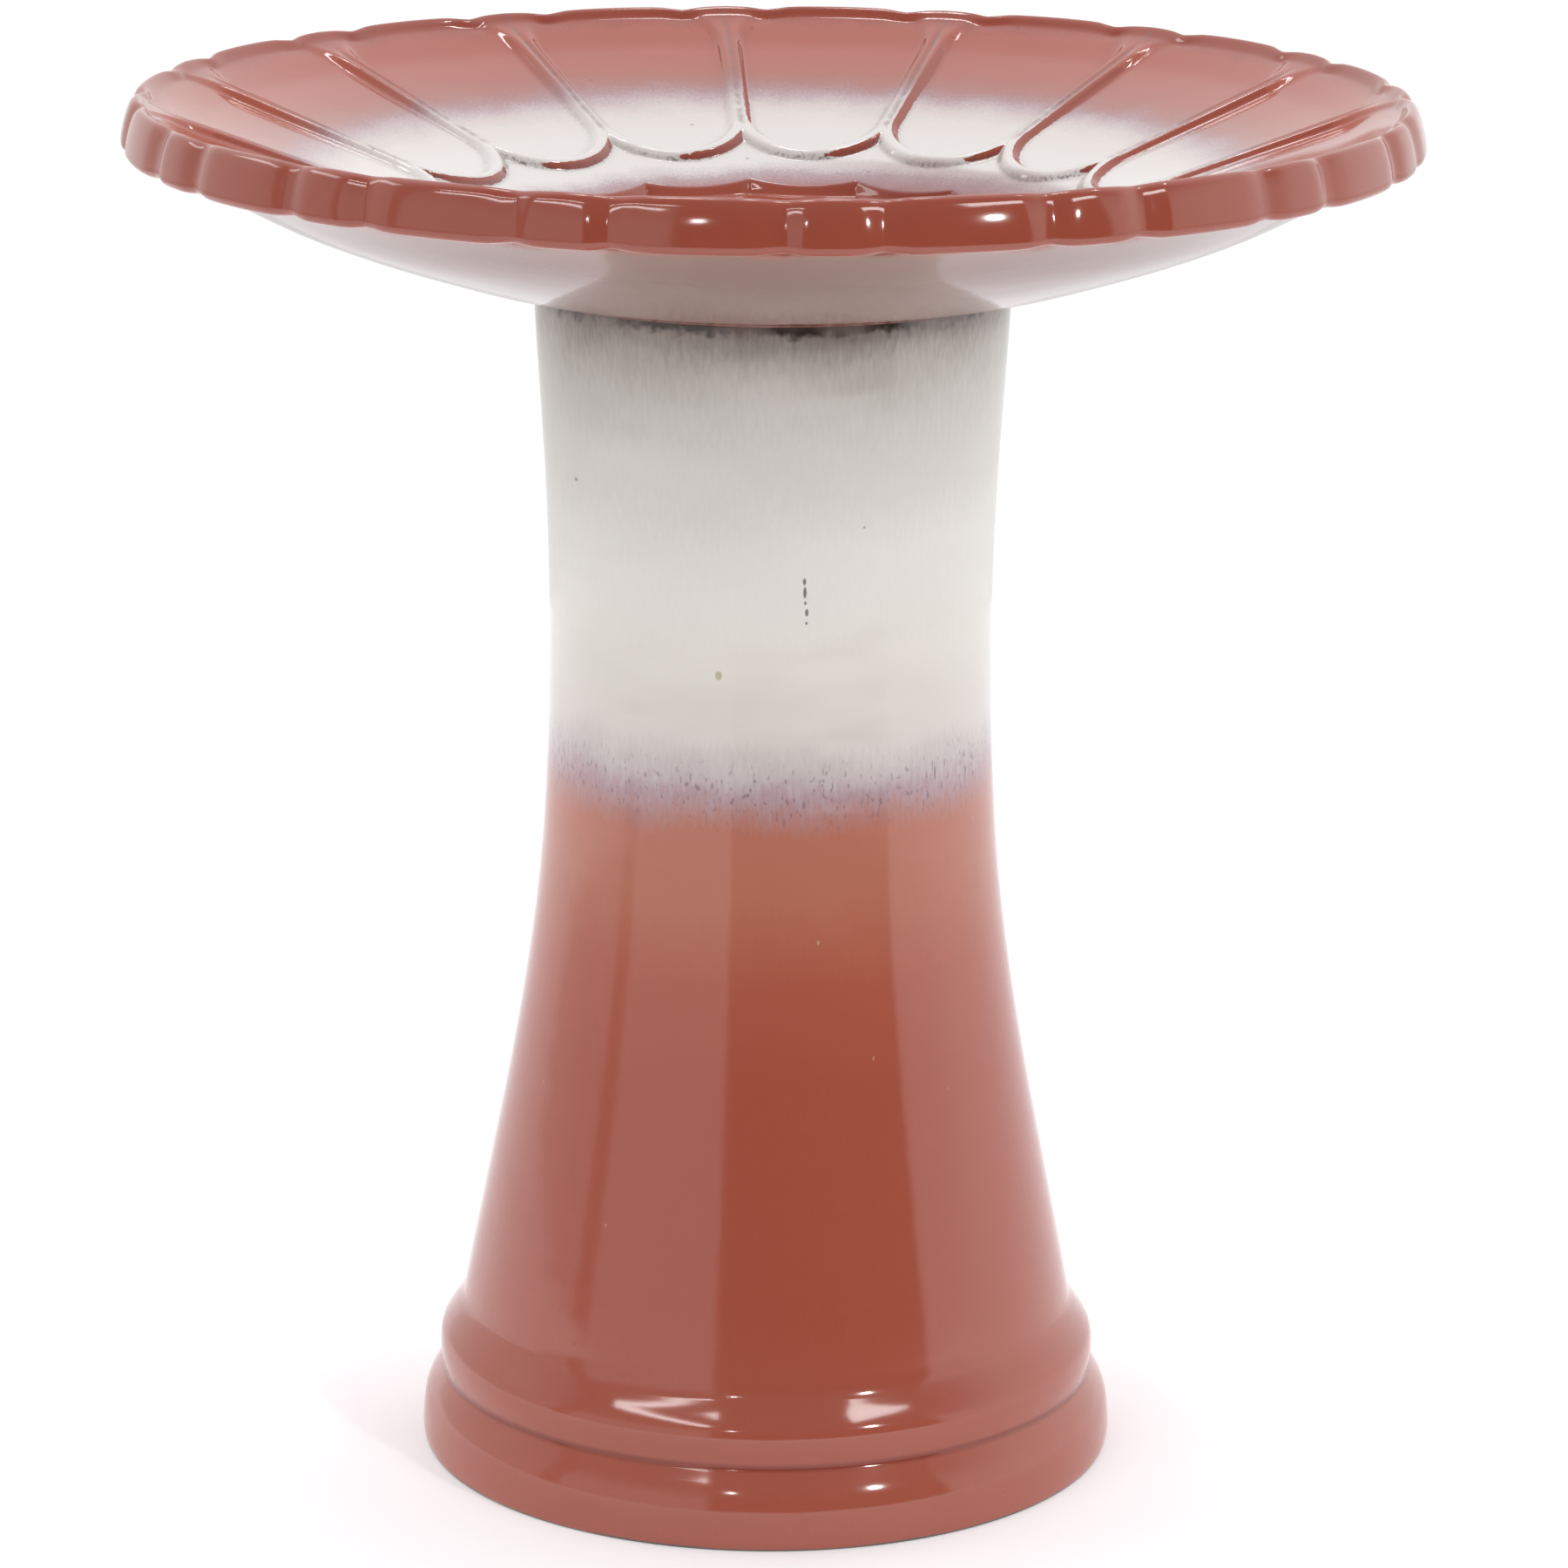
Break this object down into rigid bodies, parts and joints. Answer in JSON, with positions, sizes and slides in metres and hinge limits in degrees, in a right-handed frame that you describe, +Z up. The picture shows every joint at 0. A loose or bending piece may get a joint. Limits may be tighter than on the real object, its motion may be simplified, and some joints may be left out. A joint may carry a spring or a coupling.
{
  "type": "bird bath",
  "caption": "Glazed stoneware bird bath: shallow round basin with radial petal panels and a scalloped rim, lifted on and off a hollow flared pedestal with beaded foot.",
  "frame": {"origin": "middle of the pedestal's foot, on the ground it stands on", "axes": "+Z up along the axis of the pedestal and the basin; +X and +Y each run along a rib between two petals"},
  "size_m": [0.508, 0.508, 0.552],
  "materials": {
    "pedestal_glaze": "gloss",
    "basin_glaze": "gloss"
  },
  "bodies": {
    "pedestal": {"pedestal": "pedestal_glaze"},
    "basin": {"basin": "basin_glaze"}
  },
  "joints": [
    {"name": "basin_lift", "type": "slide", "parent": "pedestal", "child": "basin", "axis": [0, 0, 1], "range_m": [0, 0.12]}
  ]
}
